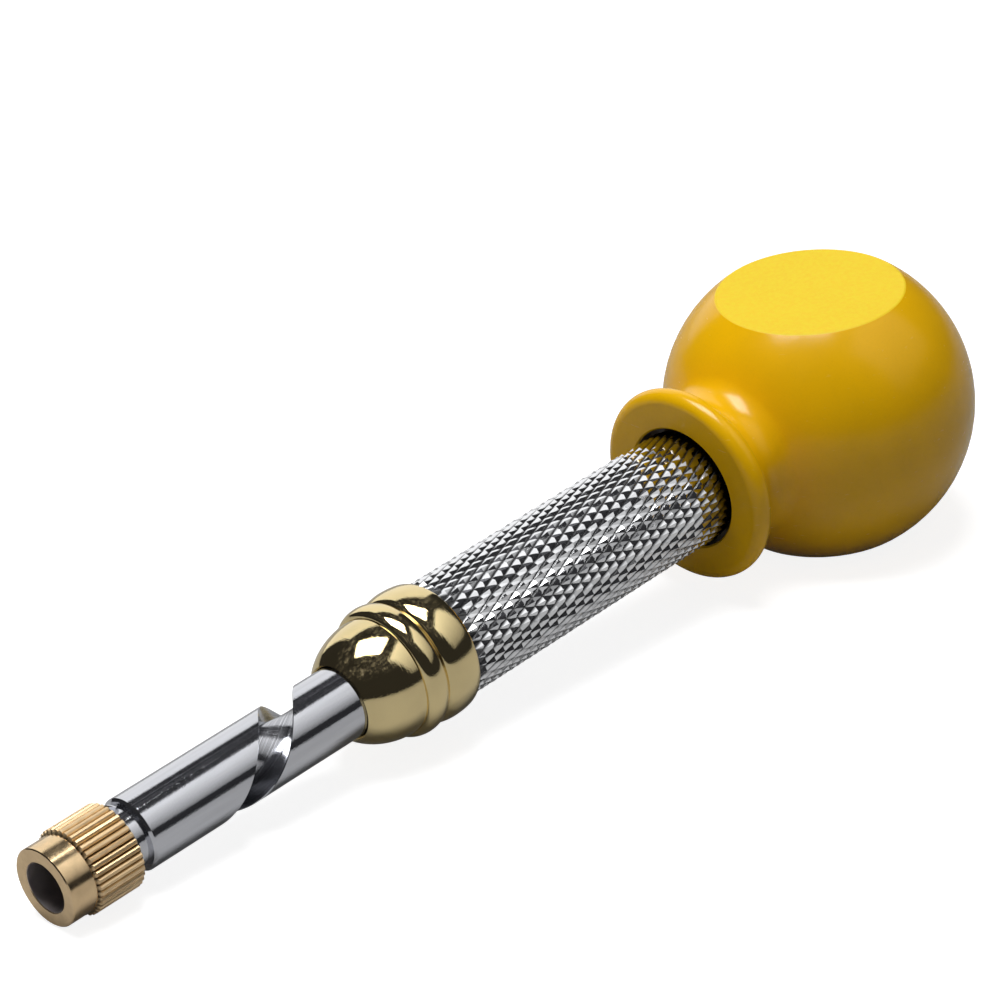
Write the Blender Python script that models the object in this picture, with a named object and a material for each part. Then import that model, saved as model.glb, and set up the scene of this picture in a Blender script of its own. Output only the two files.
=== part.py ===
"""Push-type rotary leather punch, built from separate pieces.

The tool lies along X with its nose towards +X. The ball's lower flat rests on Z = 0, and the origin is
the middle of that flat. Pressing the ball slides the barrel over the shaft, and a pin in the ferrule
follows the shaft's spiral groove and turns it. All sizes are in metres.
"""

import math

import bmesh
import bpy
from mathutils import Vector

# Shaft and the fits round it
SHAFT_RADIUS = 0.0045
SHAFT_SHOWING = 0.0322
TAIL_LENGTH = 0.0080
THREAD_STEP = 0.0002
RELIEF_DEPTH = 0.0006
RELIEF_WIDTH = 0.0006
SOCKET_RADIUS = 0.00305
SOCKET_DEPTH = 0.0120
DRILL_POINT = math.radians(59)

# Spiral groove
GROOVE_LEAD = 0.0250
GROOVE_WIDTH = 0.00385
GROOVE_DEPTH = 0.0022
GROOVE_TOP_AHEAD = 0.0092
GROOVE_RUN_OUT = 0.0059

# Front ferrule
SPIGOT_WALL = 0.0013
SPIGOT_LENGTH = 0.0090
REAR_BEAD_LENGTH = 0.0049
REAR_BEAD_RISE = 0.0009
FRONT_BEAD_LENGTH = 0.0033
FRONT_BEAD_RISE = 0.00085
HEEL_RISE = 0.0004
DOME_REACH = 0.0090
MOUTH_CHAMFER = 0.0002

# Knurled barrel
BARREL_WALL = 0.0010
KNURL_RISE = 0.0005
GRIP_LENGTH = 0.0442
SHANK_DEPTH = 0.0290

# Ball handle
BALL_RADIUS = 0.0200
FLAT_CUT = 0.0040
NECK_WALL = 0.0023
NECK_FILLET = 0.0040
RIM_RISE = 0.0034
RIM_ROUND = 0.0015
MOUTH_DEPTH = 0.0020

# Chuck nut
NECK_SHOWING = 0.0020
NUT_WALL = 0.0006
NUT_KNURL_DEPTH = 0.0003
NUT_KNURL_LENGTH = 0.0067
NUT_RIDGES = 38
NOSE_STEP = 0.0002
NOSE_LENGTH = 0.0033
NOSE_WALL = 0.0034
TIP_ROOM = 0.0020

# Spring and the pieces behind the shaft
THRUST_BALL_RADIUS = 0.0025
SEAT_LIP = 0.0004
SEAT_SLOPE = math.radians(45)
CUP_HEAD = 0.0040
CUP_STEM = 0.0090
WIRE_RADIUS = 0.0005
SPRING_TURNS = 10
CLOSED_TURNS = 1
PLUG_LENGTH = 0.0050
SCREW_RADIUS = 0.0020
SCREW_LENGTH = 0.0150
SCREW_HEAD_RADIUS = 0.0034
SCREW_HEAD_HEIGHT = 0.0022
SLOT_WIDTH = 0.0009
SLOT_DEPTH = 0.0010

# Clearances and broken edges
FIXED_FIT = 0.0001
RUNNING_FIT = 0.0001
SEAT_GAP = 0.0001
STOP_GAP = 0.0003
MOUTH_GAP = 0.0005
KNURL_GAP = 0.0003
PIN_FIT = 0.00015
PIN_TIP_GAP = 0.0003
CUP_FIT = 0.0002
SPRING_FIT = 0.0005
STEM_FIT = 0.0003
EDGE_BREAK = 0.0003
SOFT_EDGE = 0.0006

# Facets round the large and the small pieces
LARGE_STEPS = 40
SMALL_STEPS = 20
COIL_STEPS = 14
WIRE_RESOLUTION = 1
CHORD_ERROR = 0.00005
GROOVE_STEP = math.radians(15)
SMOOTH_ANGLE = math.radians(35)
MERGE_DISTANCE = 1e-7

# Radii, from the shaft outwards
GROOVE_FLOOR = SHAFT_RADIUS - GROOVE_DEPTH
THREAD_RADIUS = SHAFT_RADIUS - THREAD_STEP
RELIEF_RADIUS = THREAD_RADIUS - RELIEF_DEPTH
NUT_BORE = THREAD_RADIUS + RUNNING_FIT
NUT_ROOT = NUT_BORE + NUT_WALL
NUT_KNURL_RADIUS = NUT_ROOT + NUT_KNURL_DEPTH
NOSE_RADIUS = NUT_ROOT - NOSE_STEP
FERRULE_BORE = SHAFT_RADIUS + RUNNING_FIT
SPIGOT_RADIUS = FERRULE_BORE + SPIGOT_WALL
BARREL_BORE = SPIGOT_RADIUS + FIXED_FIT
SHANK_RADIUS = BARREL_BORE + BARREL_WALL
KNURL_RADIUS = SHANK_RADIUS + KNURL_RISE
SHANK_BORE = SHANK_RADIUS + FIXED_FIT
NECK_RADIUS = SHANK_BORE + NECK_WALL
RIM_RADIUS = NECK_RADIUS + RIM_RISE
FLAT_HEIGHT = BALL_RADIUS - FLAT_CUT
SCREW_HOLE = SCREW_RADIUS + FIXED_FIT

# Places along the tool's axis, counted from the ball's centre towards the nose
FILLET_R = NECK_RADIUS + NECK_FILLET
FILLET_X = math.sqrt((BALL_RADIUS + NECK_FILLET) ** 2 - FILLET_R ** 2)
RIM_R = RIM_RADIUS - RIM_ROUND
RIM_X = FILLET_X + math.sqrt((NECK_FILLET + RIM_ROUND) ** 2 - (FILLET_R - RIM_R) ** 2)
FACE_X = RIM_X + RIM_ROUND
BARREL_REAR_X = FACE_X - SHANK_DEPTH
FERRULE_REAR_X = FACE_X + GRIP_LENGTH
VALLEY_X = FERRULE_REAR_X + REAR_BEAD_LENGTH
DOME_X = VALLEY_X + FRONT_BEAD_LENGTH
DOME_EDGE_RADIUS = FERRULE_BORE + MOUTH_CHAMFER
FERRULE_FRONT_X = DOME_X + DOME_REACH * math.sqrt(1 - (DOME_EDGE_RADIUS / KNURL_RADIUS) ** 2)
SHOULDER_X = FERRULE_FRONT_X + SHAFT_SHOWING
NUT_REAR_X = SHOULDER_X + NECK_SHOWING
NUT_LENGTH = NUT_KNURL_LENGTH + NOSE_LENGTH
NOSE_X = NUT_REAR_X + NUT_LENGTH
SPIGOT_END_X = NOSE_X - NOSE_WALL - TIP_ROOM
PIN_X = FERRULE_REAR_X - SPIGOT_LENGTH / 2
TAIL_X = PIN_X - TAIL_LENGTH
STROKE = NUT_REAR_X - FERRULE_FRONT_X - STOP_GAP
GROOVE_END_X = PIN_X + STROKE + GROOVE_RUN_OUT
GROOVE_TOP_X = FERRULE_FRONT_X + GROOVE_TOP_AHEAD
PIN_RADIUS = GROOVE_WIDTH / 2 - PIN_FIT
PIN_OUTER_END = math.sqrt(SPIGOT_RADIUS ** 2 - PIN_RADIUS ** 2)

# The ball sits in two cones, one in the shaft's tail and one in the cup
SEAT_MOUTH = THRUST_BALL_RADIUS * math.cos(SEAT_SLOPE) + SEAT_LIP
SEAT_SINK = SEAT_MOUTH / math.tan(SEAT_SLOPE)
BALL_STANDOFF = (THRUST_BALL_RADIUS + SEAT_GAP) / math.sin(SEAT_SLOPE) - SEAT_SINK
THRUST_BALL_X = TAIL_X - BALL_STANDOFF
CUP_FRONT_X = THRUST_BALL_X - BALL_STANDOFF
CUP_REAR_X = CUP_FRONT_X - CUP_HEAD
PLUG_FACE_X = BARREL_REAR_X + PLUG_LENGTH
COIL_RADIUS = BARREL_BORE - SPRING_FIT - WIRE_RADIUS


def clear_scene():
    """Start from an empty scene."""
    for old in list(bpy.data.objects):
        bpy.data.objects.remove(old, do_unlink=True)


def finish_of(name, colour, roughness, metallic):
    """A plain surface finish for one piece."""
    finish = bpy.data.materials.new(name)
    finish.use_nodes = True
    shader = finish.node_tree.nodes["Principled BSDF"]
    shader.inputs["Base Color"].default_value = (*colour, 1.0)
    shader.inputs["Roughness"].default_value = roughness
    shader.inputs["Metallic"].default_value = metallic
    return finish


def arc(centre, radius, start, end, along=1.0):
    """Points of an arc about (x, r), its X half-axis stretched by along, from start to end."""
    step = 2 * math.acos(1 - CHORD_ERROR / (radius * max(1.0, along)))
    steps = max(2, math.ceil(abs(end - start) / step))
    points = []
    for i in range(steps + 1):
        turn = start + (end - start) * i / steps
        points.append((centre[0] + along * radius * math.cos(turn), centre[1] + radius * math.sin(turn)))
    return points


def bead(start, crest_radius, end):
    """A rounded bead between two (x, r) points: two quarter ellipses that meet at its crest."""
    middle = (start[0] + end[0]) / 2
    points = []
    for foot, first, last in ((start, math.pi, math.pi / 2), (end, math.pi / 2, 0.0)):
        rise = crest_radius - foot[1]
        reach = abs(middle - foot[0])
        points += arc((middle, foot[1]), rise, first, last, reach / rise)
    return points


def link(name, data, finish, parent):
    """Put a named object in the scene under its parent."""
    piece = bpy.data.objects.new(name, data)
    piece.data.materials.append(finish)
    piece.parent = parent
    bpy.context.collection.objects.link(piece)
    return piece


def mesh_of(name, shape):
    """A smooth-shaded mesh with sharp edges kept, from a bmesh whose normals are put right first."""
    bmesh.ops.remove_doubles(shape, verts=shape.verts, dist=MERGE_DISTANCE)
    bmesh.ops.recalc_face_normals(shape, faces=shape.faces)
    mesh = bpy.data.meshes.new(name)
    shape.to_mesh(mesh)
    shape.free()
    mesh.shade_smooth()
    mesh.set_sharp_from_angle(angle=SMOOTH_ANGLE)
    return mesh


def spun(outline, steps):
    """Spin an outline of (x, r) points about X. One that starts and ends on the axis is left open there."""
    shape = bmesh.new()
    points = [shape.verts.new((x, 0.0, r)) for x, r in outline]
    edges = [shape.edges.new(pair) for pair in zip(points, points[1:])]
    if outline[0][1] > 0.0:
        edges.append(shape.edges.new((points[-1], points[0])))
    bmesh.ops.spin(
        shape, geom=points + edges, cent=(0, 0, 0), axis=(1, 0, 0),
        angle=2 * math.pi, steps=steps, use_merge=True,
    )
    return shape


def turned(name, outline, x, finish, parent, steps=LARGE_STEPS):
    """A turned piece: an outline of (x, r) points, counted from the piece's own place x on the axis."""
    piece = link(name, mesh_of(name, spun(outline, steps)), finish, parent)
    piece.location.x = x
    return piece


def cut(piece, cutter):
    """Take a hidden cutter out of a piece."""
    cutter.hide_render = True
    cutter.display_type = "WIRE"
    difference = piece.modifiers.new(cutter.name, "BOOLEAN")
    difference.operation = "DIFFERENCE"
    difference.solver = "EXACT"
    difference.object = cutter


def groove_turn(x):
    """The angle, from straight up towards +Y, at which the groove's middle passes x."""
    return 2 * math.pi * (x - GROOVE_TOP_X) / GROOVE_LEAD


def outward(turn):
    """The direction out from the axis at an angle from straight up towards +Y."""
    return Vector((0.0, math.sin(turn), math.cos(turn)))


def aim_outward(piece, x):
    """Stand a piece turned about X on the groove's middle at x, pointing away from the axis."""
    piece.location.x = x
    piece.rotation_mode = "QUATERNION"
    piece.rotation_quaternion = Vector((1, 0, 0)).rotation_difference(outward(groove_turn(x)))


def rod(radius, start, end, chamfer):
    """The outline of a solid rod with its edges broken."""
    return [
        (start, 0.0), (start, radius - chamfer), (start + chamfer, radius),
        (end - chamfer, radius), (end, radius - chamfer), (end, 0.0),
    ]


def make_ball_handle(axis, finish):
    """The ball, neck and flange, bored for the barrel and its screw, with a flat above and below."""
    neck_angle = math.atan2(FILLET_R, FILLET_X)
    rim_angle = math.atan2(FILLET_R - RIM_R, FILLET_X - RIM_X)
    mouth = KNURL_RADIUS + MOUTH_GAP
    bottom = BARREL_REAR_X - SEAT_GAP
    pilot_end = PLUG_FACE_X - SCREW_LENGTH - SEAT_GAP
    outline = arc((0.0, 0.0), BALL_RADIUS, math.pi, neck_angle)
    outline[0] = (-BALL_RADIUS, 0.0)
    outline += arc((FILLET_X, FILLET_R), NECK_FILLET, math.pi + neck_angle, math.pi + rim_angle)[1:]
    outline += arc((RIM_X, RIM_R), RIM_ROUND, rim_angle, 0.0)[1:]
    outline += [
        (FACE_X, mouth), (FACE_X - MOUTH_DEPTH, mouth), (FACE_X - MOUTH_DEPTH, SHANK_BORE),
        (bottom, SHANK_BORE), (bottom, SCREW_HOLE), (pilot_end, SCREW_HOLE), (pilot_end, 0.0),
    ]
    handle = turned("ball_handle", outline, 0.0, finish, axis)
    for name, side in (("upper_flat_cutter", 1), ("lower_flat_cutter", -1)):
        shape = bmesh.new()
        bmesh.ops.create_cube(shape, size=2 * BALL_RADIUS)
        cutter = link(name, mesh_of(name, shape), finish, axis)
        cutter.location.z = side * (FLAT_HEIGHT + BALL_RADIUS)
        cut(handle, cutter)
    return handle


def make_barrel(axis, finish):
    """The tube: a knurled grip ahead of the flange and a plain shank inside the ball."""
    knurl_start = FACE_X + KNURL_GAP - BARREL_REAR_X
    end = FERRULE_REAR_X - SEAT_GAP - BARREL_REAR_X
    outline = [
        (0.0, BARREL_BORE), (0.0, SHANK_RADIUS - EDGE_BREAK), (EDGE_BREAK, SHANK_RADIUS),
        (knurl_start, SHANK_RADIUS), (knurl_start + EDGE_BREAK, KNURL_RADIUS),
        (end - EDGE_BREAK, KNURL_RADIUS), (end, KNURL_RADIUS - EDGE_BREAK), (end, BARREL_BORE),
    ]
    return turned("knurled_barrel", outline, BARREL_REAR_X, finish, axis)


def make_ferrule(axis, finish):
    """The brass ferrule: two beads and a dome outside, a spigot in the barrel and a bore for the shaft."""
    valley = (REAR_BEAD_LENGTH, KNURL_RADIUS)
    dome_foot = (REAR_BEAD_LENGTH + FRONT_BEAD_LENGTH, KNURL_RADIUS)
    dome_end = math.asin(DOME_EDGE_RADIUS / KNURL_RADIUS)
    outline = [(-SPIGOT_LENGTH, FERRULE_BORE), (-SPIGOT_LENGTH, SPIGOT_RADIUS - EDGE_BREAK)]
    outline += [(EDGE_BREAK - SPIGOT_LENGTH, SPIGOT_RADIUS), (0.0, SPIGOT_RADIUS)]
    outline += bead((0.0, KNURL_RADIUS + HEEL_RISE), KNURL_RADIUS + REAR_BEAD_RISE, valley)
    outline += bead(valley, KNURL_RADIUS + FRONT_BEAD_RISE, dome_foot)
    outline += arc((dome_foot[0], 0.0), KNURL_RADIUS, math.pi / 2, dome_end, DOME_REACH / KNURL_RADIUS)
    outline.append((FERRULE_FRONT_X - FERRULE_REAR_X - MOUTH_CHAMFER, FERRULE_BORE))
    ferrule = turned("front_ferrule", outline, FERRULE_REAR_X, finish, axis)
    hole = rod(PIN_RADIUS + FIXED_FIT, GROOVE_FLOOR, BARREL_BORE + EDGE_BREAK, 0.0)
    hole_cutter = turned("pin_hole_cutter", hole, 0.0, finish, axis, SMALL_STEPS)
    aim_outward(hole_cutter, PIN_X)
    cut(ferrule, hole_cutter)
    return ferrule


def make_drive_pin(axis, finish):
    """The radial pin: held in the spigot, kept in by the barrel, its end in the groove."""
    outline = rod(PIN_RADIUS, GROOVE_FLOOR + PIN_TIP_GAP, PIN_OUTER_END, EDGE_BREAK)
    pin = turned("drive_pin", outline, 0.0, finish, axis, SMALL_STEPS)
    aim_outward(pin, PIN_X)
    return pin


def groove_wall(turn, radius, side):
    """A point of the groove's wall at one radius: half a width from its middle, square to its run."""
    rise = GROOVE_LEAD / (2 * math.pi)
    run = math.hypot(radius, rise)
    across = side * GROOVE_WIDTH / 2
    x = GROOVE_TOP_X + rise * turn + across * radius / run
    return radius * outward(turn - across * rise / (radius * run)) + Vector((x - PIN_X, 0, 0))


def make_groove_cutter(axis, finish):
    """The path of a round-ended mill: a section with square walls carried along the spiral."""
    first = groove_turn(PIN_X)
    last = groove_turn(GROOVE_END_X)
    steps = math.ceil((last - first) / GROOVE_STEP)
    outside = SHAFT_RADIUS + SOFT_EDGE
    half_depth = (SHAFT_RADIUS + GROOVE_FLOOR) / 2
    corners = [(outside, 1), (half_depth, 1), (GROOVE_FLOOR, 1)]
    corners += [(radius, -side) for radius, side in reversed(corners)]
    shape = bmesh.new()
    rings = []
    for i in range(steps + 1):
        turn = first + (last - first) * i / steps
        rings.append([shape.verts.new(groove_wall(turn, radius, side)) for radius, side in corners])
    for ring, following in zip(rings, rings[1:]):
        for k in range(len(corners)):
            j = (k + 1) % len(corners)
            shape.faces.new((ring[k], ring[j], following[j], following[k]))
    shape.faces.new(rings[0])
    shape.faces.new(rings[-1])
    cutter = link("groove_cutter", mesh_of("groove_cutter", shape), finish, axis)
    cutter.location.x = PIN_X
    return cutter


def make_shaft(axis, finish):
    """The shaft: a spiral groove, a centred tail, and a threaded spigot with the tip's socket."""
    shoulder = SHOULDER_X - TAIL_X
    thread_start = shoulder + RELIEF_WIDTH
    end = SPIGOT_END_X - TAIL_X
    socket = end - SOCKET_DEPTH
    outline = [
        (SEAT_SINK, 0.0), (0.0, SEAT_MOUTH), (0.0, SHAFT_RADIUS - EDGE_BREAK), (EDGE_BREAK, SHAFT_RADIUS),
        (shoulder - EDGE_BREAK, SHAFT_RADIUS), (shoulder, SHAFT_RADIUS - EDGE_BREAK),
        (shoulder, RELIEF_RADIUS), (thread_start, RELIEF_RADIUS),
        (thread_start + EDGE_BREAK, THREAD_RADIUS), (end - EDGE_BREAK, THREAD_RADIUS),
        (end, THREAD_RADIUS - EDGE_BREAK), (end, SOCKET_RADIUS), (socket, SOCKET_RADIUS),
        (socket - SOCKET_RADIUS / math.tan(DRILL_POINT), 0.0),
    ]
    shaft = turned("spiral_shaft", outline, TAIL_X, finish, axis)
    cut(shaft, make_groove_cutter(axis, finish))
    for name, x in (("groove_rear_end_cutter", PIN_X), ("groove_front_end_cutter", GROOVE_END_X)):
        outline = rod(GROOVE_WIDTH / 2, GROOVE_FLOOR, SHAFT_RADIUS + SOFT_EDGE, 0.0)
        end_cutter = turned(name, outline, 0.0, finish, axis, SMALL_STEPS)
        aim_outward(end_cutter, x)
        cut(shaft, end_cutter)
    return shaft


def make_chuck_nut(axis, finish):
    """The cap nut: a blank turned with two columns to a ridge, every second one raised along the knurl."""
    wall = NUT_LENGTH - NOSE_WALL
    outline = [
        (0.0, NUT_BORE), (0.0, NUT_ROOT - EDGE_BREAK), (EDGE_BREAK, NUT_ROOT),
        (NUT_KNURL_LENGTH - EDGE_BREAK, NUT_ROOT), (NUT_KNURL_LENGTH, NUT_ROOT - EDGE_BREAK),
        (NUT_KNURL_LENGTH, NOSE_RADIUS), (NUT_LENGTH - EDGE_BREAK, NOSE_RADIUS),
        (NUT_LENGTH, NOSE_RADIUS - EDGE_BREAK), (NUT_LENGTH, SOCKET_RADIUS + EDGE_BREAK),
        (NUT_LENGTH - EDGE_BREAK, SOCKET_RADIUS), (wall, SOCKET_RADIUS), (wall, NUT_BORE),
    ]
    columns = 2 * NUT_RIDGES
    shape = spun(outline, columns)
    for point in shape.verts:
        column = round(math.atan2(point.co.y, point.co.z) / (2 * math.pi) * columns)
        radius = math.hypot(point.co.y, point.co.z)
        in_knurl = point.co.x < NUT_KNURL_LENGTH - EDGE_BREAK / 2 and point.co.x > EDGE_BREAK / 2
        if column % 2 and in_knurl and radius > NUT_ROOT - EDGE_BREAK / 2:
            point.co.y *= NUT_KNURL_RADIUS / radius
            point.co.z *= NUT_KNURL_RADIUS / radius
    nut = link("chuck_nut", mesh_of("chuck_nut", shape), finish, axis)
    nut.location.x = NUT_REAR_X
    return nut


def make_thrust_ball(axis, finish):
    """The steel ball between the shaft's tail and the cup."""
    outline = arc((0.0, 0.0), THRUST_BALL_RADIUS, math.pi, 0.0)
    outline[0] = (-THRUST_BALL_RADIUS, 0.0)
    outline[-1] = (THRUST_BALL_RADIUS, 0.0)
    return turned("thrust_ball", outline, THRUST_BALL_X, finish, axis, SMALL_STEPS)


def make_spring_cup(axis, finish):
    """The sliding seat: a head that fills the barrel, a stem inside the spring and a cone for the ball."""
    head = BARREL_BORE - CUP_FIT
    stem = COIL_RADIUS - WIRE_RADIUS - STEM_FIT
    rear = CUP_REAR_X - CUP_FRONT_X
    tip = rear - CUP_STEM
    outline = [
        (tip, 0.0), (tip, stem - SOFT_EDGE), (tip + SOFT_EDGE, stem), (rear, stem),
        (rear, head - EDGE_BREAK), (rear + EDGE_BREAK, head), (-EDGE_BREAK, head),
        (0.0, head - EDGE_BREAK), (0.0, SEAT_MOUTH), (-SEAT_SINK, 0.0),
    ]
    return turned("spring_cup", outline, CUP_FRONT_X, finish, axis, SMALL_STEPS)


def make_barrel_plug(axis, finish):
    """The plug in the barrel's rear end, with a hole for the screw."""
    radius = BARREL_BORE - FIXED_FIT
    outline = [
        (0.0, SCREW_HOLE), (0.0, radius - EDGE_BREAK), (EDGE_BREAK, radius),
        (PLUG_LENGTH - EDGE_BREAK, radius), (PLUG_LENGTH, radius - EDGE_BREAK), (PLUG_LENGTH, SCREW_HOLE),
    ]
    return turned("barrel_plug", outline, BARREL_REAR_X, finish, axis, SMALL_STEPS)


def make_handle_screw(axis, finish):
    """The slotted screw from the plug into the ball."""
    top = SEAT_GAP + SCREW_HEAD_HEIGHT
    outline = [
        (-SCREW_LENGTH, 0.0), (SOFT_EDGE - SCREW_LENGTH, SCREW_RADIUS), (SEAT_GAP, SCREW_RADIUS),
        (SEAT_GAP, SCREW_HEAD_RADIUS), (top - SOFT_EDGE, SCREW_HEAD_RADIUS),
        (top, SCREW_HEAD_RADIUS - SOFT_EDGE), (top, 0.0),
    ]
    screw = turned("handle_screw", outline, PLUG_FACE_X, finish, axis, SMALL_STEPS)
    shape = bmesh.new()
    bmesh.ops.create_cube(shape, size=1.0)
    slot_length = 2 * (SCREW_HEAD_RADIUS + EDGE_BREAK)
    bmesh.ops.scale(shape, vec=(2 * SLOT_DEPTH, slot_length, SLOT_WIDTH), verts=shape.verts)
    slot_cutter = link("slot_cutter", mesh_of("slot_cutter", shape), finish, axis)
    slot_cutter.location.x = PLUG_FACE_X + top
    cut(screw, slot_cutter)
    return screw


def make_return_spring(axis, finish):
    """The coil spring from the plug to the cup, its first and last turns closed up."""
    start = PLUG_FACE_X + SEAT_GAP + WIRE_RADIUS
    end = CUP_REAR_X - SEAT_GAP - WIRE_RADIUS
    closed = 2 * WIRE_RADIUS + SEAT_GAP
    open_turns = SPRING_TURNS - 2 * CLOSED_TURNS
    pitch = (end - start - 2 * CLOSED_TURNS * closed) / open_turns
    curve = bpy.data.curves.new("return_spring", "CURVE")
    curve.dimensions = "3D"
    curve.bevel_depth = WIRE_RADIUS
    curve.bevel_resolution = WIRE_RESOLUTION
    curve.use_fill_caps = True
    coil = curve.splines.new("POLY")
    coil.points.add(SPRING_TURNS * COIL_STEPS)
    for i, point in enumerate(coil.points):
        turns = i / COIL_STEPS
        middle_turns = min(max(turns - CLOSED_TURNS, 0), open_turns)
        x = closed * (turns - middle_turns) + pitch * middle_turns
        point.co = (*(COIL_RADIUS * outward(2 * math.pi * turns) + Vector((x, 0, 0))), 1.0)
    spring = link("return_spring", curve, finish, axis)
    spring.location.x = start
    return spring


def main():
    """Build the punch: every piece hangs on one axis at the height of the ball's centre."""
    clear_scene()
    axis = bpy.data.objects.new("tool_axis", None)
    axis.location.z = FLAT_HEIGHT
    bpy.context.collection.objects.link(axis)
    make_ball_handle(axis, finish_of("yellow_plastic", (0.87, 0.50, 0.01), 0.35, 0.0))
    make_barrel(axis, finish_of("knurled_chrome", (0.75, 0.76, 0.78), 0.15, 1.0))
    make_ferrule(axis, finish_of("polished_brass", (0.86, 0.68, 0.36), 0.08, 1.0))
    make_drive_pin(axis, finish_of("hardened_steel", (0.55, 0.56, 0.58), 0.25, 1.0))
    make_shaft(axis, finish_of("polished_chrome", (0.80, 0.81, 0.83), 0.06, 1.0))
    make_chuck_nut(axis, finish_of("satin_brass", (0.80, 0.58, 0.30), 0.25, 1.0))
    make_thrust_ball(axis, finish_of("bearing_steel", (0.70, 0.71, 0.73), 0.08, 1.0))
    make_spring_cup(axis, finish_of("turned_steel", (0.55, 0.56, 0.58), 0.30, 1.0))
    make_return_spring(axis, finish_of("spring_steel", (0.45, 0.46, 0.48), 0.30, 1.0))
    make_barrel_plug(axis, finish_of("plug_steel", (0.50, 0.51, 0.53), 0.35, 1.0))
    make_handle_screw(axis, finish_of("zinc_plate", (0.65, 0.65, 0.60), 0.35, 1.0))


main()
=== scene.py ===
"""Looks of a push-type rotary leather punch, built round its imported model.

The tool lies along X with its nose towards +X. All sizes are in metres.
"""

import math

import bmesh
import bpy
from mathutils import Matrix, Vector


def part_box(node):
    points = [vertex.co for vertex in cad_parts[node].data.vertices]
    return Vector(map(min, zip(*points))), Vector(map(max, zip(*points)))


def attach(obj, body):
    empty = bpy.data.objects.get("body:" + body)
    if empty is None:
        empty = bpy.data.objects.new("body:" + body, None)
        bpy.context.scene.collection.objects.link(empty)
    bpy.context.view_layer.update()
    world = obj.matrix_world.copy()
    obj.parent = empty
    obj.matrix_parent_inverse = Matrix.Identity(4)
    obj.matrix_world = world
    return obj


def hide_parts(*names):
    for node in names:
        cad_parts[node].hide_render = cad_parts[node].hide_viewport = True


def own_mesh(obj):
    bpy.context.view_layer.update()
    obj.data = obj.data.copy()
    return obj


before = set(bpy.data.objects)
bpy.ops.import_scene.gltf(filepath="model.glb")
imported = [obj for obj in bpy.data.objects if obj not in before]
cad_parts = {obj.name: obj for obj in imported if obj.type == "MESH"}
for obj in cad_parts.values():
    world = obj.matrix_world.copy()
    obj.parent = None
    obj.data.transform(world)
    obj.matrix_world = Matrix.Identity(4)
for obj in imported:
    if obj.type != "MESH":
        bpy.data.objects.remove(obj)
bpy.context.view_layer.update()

bl_info = {
    "name": "Rotary leather punch",
    "version": (1, 0, 0),
    "blender": (4, 5, 0),
    "location": "View3D > Sidebar > Leather punch",
    "description": "Models the pieces of a push-type leather punch round its packed model",
    "category": "Mesh",
}

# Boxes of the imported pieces, which the new pieces fit
HANDLE_LOW, HANDLE_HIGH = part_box("ball_handle")
BARREL_LOW, BARREL_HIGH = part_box("knurled_barrel")
FERRULE_LOW, FERRULE_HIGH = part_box("front_ferrule")
SHAFT_LOW, SHAFT_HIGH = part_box("spiral_shaft")
NUT_LOW, NUT_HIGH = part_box("chuck_nut")
SPRING_LOW, SPRING_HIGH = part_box("return_spring")
SCREW_LOW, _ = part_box("handle_screw")

# The tool's axis and what is read off the boxes along it
AXIS_Z = (HANDLE_LOW.z + HANDLE_HIGH.z) / 2
AXIS = (0.0, 0.0, AXIS_Z)
KNURL_RADIUS = BARREL_HIGH.z - AXIS_Z
SHAFT_RADIUS = SHAFT_HIGH.z - AXIS_Z
FERRULE_CREST = FERRULE_HIGH.z - AXIS_Z

# How finely the pieces are turned and drawn
FINE_STEPS = 160
SMALL_STEPS = 64
COIL_STEPS = 30
WIRE_SIDES = 12
RIDGE_COLUMNS = 6
ARC_STEP = math.radians(4)
SCREW_STEP = math.radians(6)
ROW_TOLERANCE = 0.01
MERGE_DISTANCE = 1e-6
SEED_SIZE = 0.001

# The angles past which an edge stays crisp
SMOOTH_ANGLE = math.radians(28)
HANDLE_ANGLE = math.radians(9)
KNURL_ANGLE = math.radians(1)
NUT_ANGLE = math.radians(12)
WIRE_ANGLE = math.radians(50)

# Half the drill's angle; where in its pitch the thread's ridge rises, falls and ends; how far it sinks in
HALF_DRILL_POINT = math.radians(59)
THREAD_SHARES = (0.22, 0.38, 0.60)
THREAD_SINK = 0.00005

# Faces inside this share of the shaft's radius are the groove's
MILLED_SHARE = 0.97

# The range in which a pattern's patches fade, and lengths over which finishes, painted shade and painted
# sheen change
PATCHES = (0.35, 0.7)
FLAT_FADE = (0.0001, 0.00005)
MOUTH_FADE = 0.0003
FACE_FADE = 0.0004
# How far from the flange's mouth the knurl's painted shade reaches
MOUTH_SHADE_LENGTH = 0.0055
NOSE_FADE = 0.0001


def size(label, about, default):
    """A length that a user may change."""
    return bpy.props.FloatProperty(
        name=label, description=about, default=default, min=0.0, precision=5, unit="LENGTH")


def whole(label, about, default):
    """A count that a user may change."""
    return bpy.props.IntProperty(name=label, description=about, default=default, min=3)


def angle(label, about, degrees):
    """An angle that a user may change."""
    return bpy.props.FloatProperty(
        name=label, description=about, default=math.radians(degrees), subtype="ANGLE")


def tint(label, about, default):
    """A colour that a user may change."""
    return bpy.props.FloatVectorProperty(
        name=label, description=about, default=default, size=3, min=0.0, max=1.0, subtype="COLOR")


def level(label, about, default):
    """A plain number that a user may change."""
    return bpy.props.FloatProperty(name=label, description=about, default=default, min=0.0)


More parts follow.
